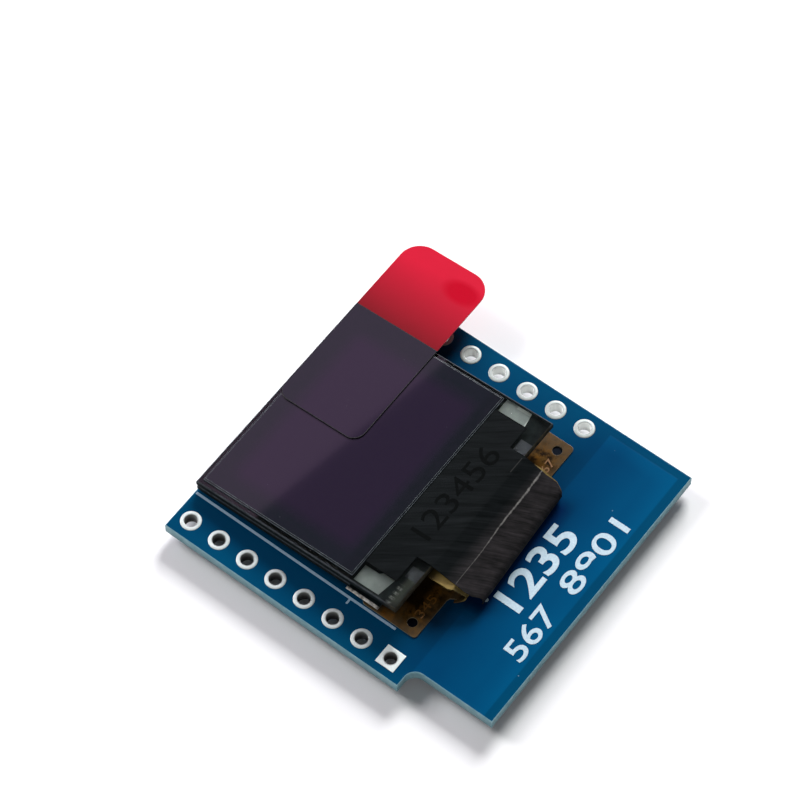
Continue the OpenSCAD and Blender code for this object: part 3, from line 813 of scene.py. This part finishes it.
def makePads():
    barrel = [(padSizes["hole"] + padSizes["plating"], z) for z in (0.98, 0.02)]
    profile = padProfile(boardSizes["thick"], 1) + barrel + padProfile(0.0, -1)[::-1]
    ring = pieceFromShape("ringDraft", lathe(profile), [finish["tin"]])
    pads = grown("roundPads", rowsTree(ring, finish["tin"]))
    bpy.data.objects.remove(ring)
    names = [f"pin_pad_{side}_{i + 1}" for side in ("left", "right") for i in range(pinGrid["count"])]
    settle(pads, "tin", *[n for n in names if n != "pin_pad_left_8"])
    dress("pin_pad_left_8", "squarePad", ["tin"], "tin", 0.018)


makePads()
print("pads made")


# The panel. Its frame is pitched: y runs back from its top edge and z up from the rear glass

panelSizes = {"length": 17.8, "rear": 13.75, "topY": 10.05, "restZ": 1.14, "pitch": 4.0,
              "inner": 0.6, "face": 1.15, "filmTop": 1.36, "tabEdge": 9.2}


def onPanel(y, z):
    p = panelSizes
    turn = radians(p["pitch"])
    return (p["topY"] + y * cos(turn) + z * sin(turn), p["restZ"] - y * sin(turn) + z * cos(turn))


def broadFaces(face):
    # the broad faces, the sides, and the eased edges between them
    tilt = abs(face.normal.z)
    return 0 if tilt > 0.99 else 2 if tilt > 0.2 else 1


def makePullTab():
    # the stuck length and the free length are one film; a dark line runs round the stuck outline
    shape = bmesh.new()
    shape.from_mesh(nodes["pull_tab"].data)
    bmesh.ops.remove_doubles(shape, verts=shape.verts, dist=0.0005 * mm)
    bmesh.ops.dissolve_limit(shape, angle_limit=radians(1), verts=shape.verts, edges=shape.edges)
    glassEnd = panelSizes["tabEdge"] * mm
    bmesh.ops.bisect_plane(shape, geom=list(shape.verts) + list(shape.edges) + list(shape.faces),
                           plane_co=(glassEnd, 0, 0), plane_no=(1, 0, 0))
    stuck = [f for f in shape.faces if f.normal.z > 0.9 and f.calc_center_median().x < glassEnd]
    rim = set(bmesh.ops.inset_region(shape, faces=stuck, thickness=0.05 * mm)["faces"])
    for face in shape.faces:
        near = face.calc_center_median().x < glassEnd
        flat = abs(face.normal.z) > 0.9
        face.material_index = (1 if face in rim or not flat else 0) if near else (2 if flat else 3)
    tab = pieceFromShape("pullTab", shape, [finish[k] for k in ("film", "filmShade", "red", "redEdge")])
    return settle(tab, "red_film", "pull_tab")


def underLedge(node, name, look, slotName, widen=1.0):
    # a film set a hair into the glass, so that the glass's own face doesn't cover it
    shape = bmesh.new()
    shape.from_mesh(nodes[node].data)
    turn = radians(panelSizes["pitch"])
    bmesh.ops.translate(shape, verts=shape.verts, vec=Vector((0, sin(turn), cos(turn))) * 0.008 * mm)
    bmesh.ops.scale(shape, verts=shape.verts, vec=(widen, 1, 1))
    settle(pieceFromShape(name, shape, [finish[look]]), slotName, node)


def makePanel():
    clear = ["glass", "glassEdge", "glassRim"]
    rear = dress("rear_glass", "rearGlass", clear, "rear_glass", pick=broadFaces)
    front = dress("front_glass", "frontGlass", clear + ["ledgeBack"], "front_glass",
                  pick=lambda face: 3 if face.normal.z < -0.97 else broadFaces(face))
    for piece in (rear, front):
        softShade(piece.data, 8)  # the broad faces stay flat right up to the ground edges
    films = ["filmSide", "filmEdge"]
    dress("polariser", "polariserSheet", ["display", *films], "polariser", 0.015, broadFaces)
    dress("protective_film", "coverFilm", ["film", *films], "clear_film", pick=broadFaces)
    makePullTab()
    underLedge("contact_left", "leftContact", "contact", "metal_film", 0.99)
    underLedge("contact_right", "rightContact", "contact", "metal_film", 1.022)
    underLedge("mark_left", "leftMark", "mark", "mark_film")
    underLedge("mark_right", "rightMark", "mark", "mark_film")
    for node, look in (("seal_frame", "seal"), ("emissive_layer", "emissive"), ("driver_chip", "silicon")):
        recoat(node, look)


makePanel()
print("panel made")


# The flexible circuit: the neck is lofted along its folded line, the tail is a flat plate

flexSizes = {"thick": 0.12, "bond": 1.6, "foldOut": 3.37, "foldR": 0.7, "skew": 0.055,
             "tailLeft": -9.25, "tailRight": 9.65, "tailFront": -9.336, "tailBack": -4.636, "tailR": 0.3,
             "shoulder": 0.7, "footLeft": -5.05, "footRight": 5.7, "hole": 0.375, "holeIn": 0.9,
             "boardTop": 1.0, "ease": 0.06, "straightX": 5.4, "freeX": -4.4, "freeWide": 0.6}
edgeY, edgeZ = onPanel(-panelSizes["length"], panelSizes["face"])

# from the crease outwards: y, then the left and right edges of the neck and of the tape
neckEdges = ((-9.5, -5.6, 6.0), (-10.3, -5.0, 6.08), (-10.9, -4.5, 5.85), (-11.4, -3.8, 5.4))
tapeEdges = ((-9.5, -5.05, 5.84), (-10.3, -4.98, 6.02), (-10.9, -4.85, 5.8), (-11.5, -4.4, 5.36))


def edgesAt(edges, y):
    for (near, leftNear, rightNear), (far, leftFar, rightFar) in zip(edges, edges[1:]):
        share = min(1, max(0, (near - y) / (near - far)))
        if y >= far:
            break
    return leftNear + (leftFar - leftNear) * share, rightNear + (rightFar - rightNear) * share


def creaseY(x):
    # the crease runs a little askew, as a hand fold does
    c = crease
    return c["middle"] + c["slant"] * x + c["wave"] * sin(c["rate"] * x + c["start"])


def between(a, b, share):
    return (a[0] + (b[0] - a[0]) * share, a[1] + (b[1] - a[1]) * share)


def foldedLine(x, start, outside, lowest, curled=0.0):
    # points (y, z) from the ledge over the crease and round the fold, outside the flexible circuit's face
    f = flexSizes
    # the circuit's left margin, free of the tape, curls under sooner
    free = min(1, max(0, (f["freeX"] - x) / f["freeWide"]))
    foldY = edgeY - f["foldOut"] + f["foldR"] - f["skew"] * (f["straightX"] - x) + curled * free
    foldZ, foldR = f["boardTop"] + f["foldR"], f["foldR"] + outside
    neckY, neckZ = onPanel(f["bond"] - panelSizes["length"], panelSizes["inner"])
    bendY = creaseY(x)
    bendZ = neckZ + (neckY - bendY) * tan(radians(panelSizes["pitch"])) + outside
    away = hypot(bendY - foldY, bendZ - foldZ)
    slope = atan2(bendZ - foldZ, bendY - foldY) - asin(foldR / away)
    touch = (foldY + foldR * cos(slope + pi / 2), foldZ + foldR * sin(slope + pi / 2))
    line = [between(start, (bendY, bendZ), i / 12) for i in range(12)]
    # the crease itself is eased over a short arc
    eased = []
    for y, z in (start, touch):
        far = hypot(y - bendY, z - bendZ)
        eased.append((bendY + f["ease"] * (y - bendY) / far, bendZ + f["ease"] * (z - bendZ) / far))
    before, after = eased
    middle = ((before[0] + after[0]) / 4 + bendY / 2, (before[1] + after[1]) / 4 + bendZ / 2)
    line += [before, middle, after] + [between(after, touch, i / 5) for i in range(1, 6)]
    return line + arcPoints((foldY, foldZ), foldR, 90 + slope * 180 / pi, lowest, 16)[1:]


def makeFlex():
    f = flexSizes
    columns = 48
    neckStart = onPanel(f["bond"] - panelSizes["length"], panelSizes["inner"])
    shoulderY = f["tailFront"] - f["shoulder"]
    left, right = neckEdges[0][1:]
    lines = []
    for i in range(columns + 1):
        x = left + (right - left) * i / columns
        lines.append(foldedLine(x, neckStart, 0.0, 270.0, 1.1) + [(shoulderY, f["boardTop"])])
    foot = len(lines[0]) - 1
    rows = [[] for k in range(foot + 1)]
    for i, line in enumerate(lines):
        for k, (y, z) in enumerate(line):
            low, high = edgesAt(neckEdges, y) if k < foot else (f["footLeft"], f["footRight"])
            rows[k].append((low + (high - low) * i / columns, y, z))
    neck = bandPiece("flexNeck", rows, f["thick"], [finish["polyimide"]])

    front, back, r = f["tailFront"], f["tailBack"], f["tailR"]
    outline = []
    for side, bend, wide in ((1, f["footRight"], f["tailRight"]), (-1, -f["footLeft"], -f["tailLeft"])):
        half = [(bend, shoulderY), (bend + 0.1, front - 0.32), (bend + 0.26, front - 0.08),
                (bend + 0.5, front)]
        half += arcPoints((wide - r, front + r), r, 270, 360, 6)
        half += arcPoints((wide - r, back - r), r, 0, 90, 6)
        outline += half if side == 1 else [(-x, y) for x, y in reversed(half)]
    holes = [ringAt(x, front + f["holeIn"], f["hole"], 28)
             for x in (f["tailRight"] - f["holeIn"], f["tailLeft"] + f["holeIn"])]
    tail = flatOutline("flexTail", [outline] + holes, f["boardTop"], f["boardTop"] + f["thick"],
                       [finish["polyimide"], finish["flexEdge"]], 0.02, facesUp)
    settle(neck, "amber_polyimide", "flex_cable")
    settle(tail, "amber_polyimide", "flex_cable")


makeFlex()
print("flexible circuit made")


# The black tape: a bar on the ledge and a stem over the crease

shieldSizes = {"thick": 0.07, "left": -7.4, "right": 7.8, "barLength": 2.75, "foldEnd": 205.0}


def makeShield():
    s = shieldSizes
    rearEdge = onPanel(-panelSizes["rear"], panelSizes["face"])
    barEnd = rearEdge[0] - s["barLength"]
    ledge = (edgeY, edgeZ + s["thick"])
    slope = tan(radians(panelSizes["pitch"]))
    columns = 40
    rows = []
    for k in range(8):
        y = rearEdge[0] - s["barLength"] * k / 7
        z = rearEdge[1] + s["thick"] + (rearEdge[0] - y) * slope
        rows.append([(s["left"] + (s["right"] - s["left"]) * i / columns, y, z)
                     for i in range(columns + 1)])
    bar = bandPiece("shieldBar", rows, s["thick"], [finish["tape"]])

    startZ = rearEdge[1] + s["thick"] + (rearEdge[0] - barEnd) * slope
    left, right = tapeEdges[0][1:]
    across = [left + (right - left) * i / columns for i in range(columns + 1)]
    rows = []
    for k in range(3):
        y = barEnd + (ledge[0] - barEnd) * k / 3
        rows.append([(x, y, startZ + (ledge[1] - startZ) * k / 3) for x in across])
    for points in zip(*[foldedLine(x, ledge, s["thick"], s["foldEnd"]) for x in across]):
        row = []
        for i, (y, z) in enumerate(points):
            low, high = edgesAt(tapeEdges, y)
            row.append((low + (high - low) * i / columns, y, z))
        rows.append(row)
    stem = bandPiece("shieldStem", rows, s["thick"], [finish["tape"]])
    settle(bar, "black_tape", "light_shield")
    settle(stem, "black_tape", "light_shield")


makeShield()
print("light shield made")


# Tapes, joints and the parts on the underside

def endFaces(node, end):
    low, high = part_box(node)
    middle, reach = (low.x + high.x) / 2, (high.x - low.x) / 2 - end * mm
    return lambda face: 1 if abs(face.calc_center_median().x - middle) > reach else 0


def makeSmallParts():
    dress("mounting_foam", "foamPad", ["foam"], "white_foam", 0.04)
    dress("insulating_strip", "jointTape", ["strip"], "clear_tape")
    for i in range(1, 15):
        dress(f"flex_joint_{i}", f"solderJoint{i}", ["solder"], "tin", 0.06)
    for kind, count, look, slotName in (("capacitor", 7, "ceramic", "capacitor_ceramic"),
                                        ("resistor", 3, "resistor", "resistor_body")):
        for i in range(1, count + 1):
            node = f"{kind}_{i}"
            dress(node, f"{kind}Chip{i}", [look, "solder"], slotName, 0.03, endFaces(node, 0.59))
    for i in range(1, 4):
        recoat(f"jumper_pad_{i}", "tin")


makeSmallParts()
print("small parts made")


# Printing: a silk line and plain numbers on the board, and a faint stamp on the tape

silkSizes = {"line": -9.44, "wide": 0.2, "foot": -7.8, "tick": -3.85, "rise": 0.022}


def writing(name, words, left, foot, width, height, material, lift, thickness, bold=0.0):
    text = bpy.data.curves.new(name, "FONT")
    text.body = words
    text.size = 1.0
    text.offset = bold
    shape = bakedDraft(name, text)
    bmesh.ops.remove_doubles(shape, verts=shape.verts, dist=1e-5)
    xs, ys = [v.co.x for v in shape.verts], [v.co.y for v in shape.verts]
    stretchX, stretchY = width / (max(xs) - min(xs)), height / (max(ys) - min(ys))
    for vert in shape.verts:
        x = left + (vert.co.x - min(xs)) * stretchX
        y = foot + (vert.co.y - min(ys)) * stretchY
        vert.co = Vector((x, y, lift(x, y))) * mm
    faces = list(shape.faces)
    raised = bmesh.ops.extrude_face_region(shape, geom=faces)
    bmesh.ops.translate(shape, verts=[g for g in raised["geom"] if isinstance(g, bmesh.types.BMVert)],
                        vec=(0, 0, thickness * mm))
    bmesh.ops.recalc_face_normals(shape, faces=shape.faces)
    return pieceFromShape(name, shape, [material])


def makePrinting():
    s, top = silkSizes, boardSizes["thick"]
    edge, half, tick = s["line"], s["wide"] / 2, s["tick"]
    end = boardSizes["top"] - 0.15
    outline = [(edge + half, s["foot"]), (edge + half, end), (edge - half, end),
               (edge - half, tick + 0.08), (edge - 0.5, tick + 0.08), (edge - 0.5, tick - 0.08),
               (edge - half, tick - 0.08), (edge - half, s["foot"])]
    dot = ringAt(-3.8, -11.45, 0.17, 20)
    for name, loop, look in (("silkLine", outline, "silkLine"), ("silkDot", dot, "silk")):
        settle(flatOutline(name, [loop], top, top + s["rise"], [finish[look]], 0.006), "solder_mask")
    onBoard = lambda x, y: top
    rows = (("bigNumber", "1235", -3.3, -13.95, 7.4, 2.3, 0.018),
            ("leftNumber", "567", -6.3, -16.3, 4.6, 1.7, 0.01),
            ("rightNumber", "8901", 0.1, -16.3, 6.7, 1.7, 0.01))
    for name, words, left, foot, width, height, bold in rows:
        settle(writing(name, words, left, foot, width, height, finish["silk"], onBoard, s["rise"], bold),
               "solder_mask")
    onTail = lambda x, y: flexSizes["boardTop"] + flexSizes["thick"]
    settle(writing("leftTailNumber", "345", -7.75, -8.8, 1.9, 0.7, finish["copper"], onTail, 0.006),
           "amber_polyimide")
    settle(writing("rightTailNumber", "67", 6.75, -8.95, 1.1, 0.65, finish["copper"], onTail, 0.006),
           "amber_polyimide")
    slope = tan(radians(panelSizes["pitch"]))
    rearEdge = onPanel(-panelSizes["rear"], panelSizes["face"])
    onTape = lambda x, y: rearEdge[1] + shieldSizes["thick"] + (rearEdge[0] - y) * slope
    settle(writing("stamp", "123456", -3.6, -6.3, 8.6, 1.7, finish["stamp"], onTape, 0.006), "black_tape")


makePrinting()
print("printing made")


# Studio: pale floor, soft lights, camera

def makeFloor():
    material, tree, shader = newMaterial("paleFloor", {"Base Color": (0.86, 0.87, 0.88), "Roughness": 0.6})
    mottle = mottled(tree, 30.0, 3.0, 1.0)
    paint(tree, shader, mixColour(tree, mottle, (0.84, 0.85, 0.86), (0.88, 0.885, 0.89)))
    mesh = bpy.data.meshes.new("floor")
    wide, low = 1.2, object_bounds()[0][2]
    mesh.from_pydata([(-wide, -wide, low), (wide, -wide, low), (wide, wide, low), (-wide, wide, low)], [],
                     [(0, 1, 2, 3)])
    mesh.materials.append(material)
    floor = bpy.data.objects.new("floor", mesh)
    show(floor)


def softbox(name, place, aim, size, power, tint=(1, 1, 1)):
    light = bpy.data.lights.new(name, "AREA")
    light.shape = "RECTANGLE"
    light.size, light.size_y = size[0] * mm, size[1] * mm
    light.energy = power
    light.color = tint
    lamp = bpy.data.objects.new(name, light)
    lamp.location = Vector(place) * mm
    lamp.rotation_euler = (Vector(aim) - Vector(place)).to_track_quat("-Z", "Y").to_euler()
    show(lamp)
    return lamp


def reflectedPanel(name, eye, far, size, radiance, tint):
    # a dim panel whose edge is mirrored across the display, from its left side to its right
    turn = radians(panelSizes["pitch"])
    normal = Vector((0, sin(turn), cos(turn)))
    ends = []
    for x, y in ((-9.0, 4.8), (9.0, 1.7)):
        spot = Vector((x, y, onPanel(y - panelSizes["topY"], panelSizes["filmTop"])[1]))
        ray = (spot - eye).normalized()
        ends.append(spot + far * (ray - 2 * ray.dot(normal) * normal))
    middle, along = (ends[0] + ends[1]) / 2, (ends[1] - ends[0]).normalized()
    facing = middle.normalized()
    outward = facing.cross(along).normalized()
    centre = middle + outward * size / 2
    power = radiance * pi * size * 1.5 * size * mm * mm
    light = softbox(name, centre, (0, 0, 0), (size * 1.5, size), power, tint)
    basis = Matrix((along, outward, along.cross(outward))).transposed().to_4x4()
    light.matrix_world = Matrix.Translation(centre * mm) @ basis
    return light


def makeStudio():
    makeFloor()
    place, aim, roll = Vector((-91.18, -72.13, 215.52)), Vector((5.317, 3.080, 1.0)), -0.663
    world = bpy.data.worlds.new("studio")
    world.use_nodes = True
    world.node_tree.nodes["Background"].inputs[0].default_value = (0.93, 0.96, 1.0, 1)
    world.node_tree.nodes["Background"].inputs[1].default_value = 0.06
    bpy.context.scene.world = world
    bpy.context.scene.view_settings.view_transform = "Standard"
    softbox("keyLight", (330, 100, 250), (0, 0, 0), (170, 170), 2.5)
    softbox("backLight", (-50, 330, 270), (0, 0, 0), (190, 170), 1.2)
    softbox("fillLight", (-320, -200, 200), (0, 0, 0), (260, 260), 0.35)
    reflectedPanel("skyPanel", place, 300, 260, 0.62, (1.0, 0.66, 1.0))

    camera = bpy.data.cameras.new("camera")
    camera.lens, camera.sensor_width = 154.17, 36.0
    camera.clip_start, camera.clip_end = 0.005, 5.0
    holder = bpy.data.objects.new("camera", camera)
    turned = (aim - place).to_track_quat("-Z", "Y").to_matrix().to_4x4()
    turned = turned @ Matrix.Rotation(radians(roll), 4, "Z")
    holder.matrix_world = Matrix.Translation(place * mm) @ turned
    show(holder)
    bpy.context.scene.camera = holder


makeStudio()
print("studio made")
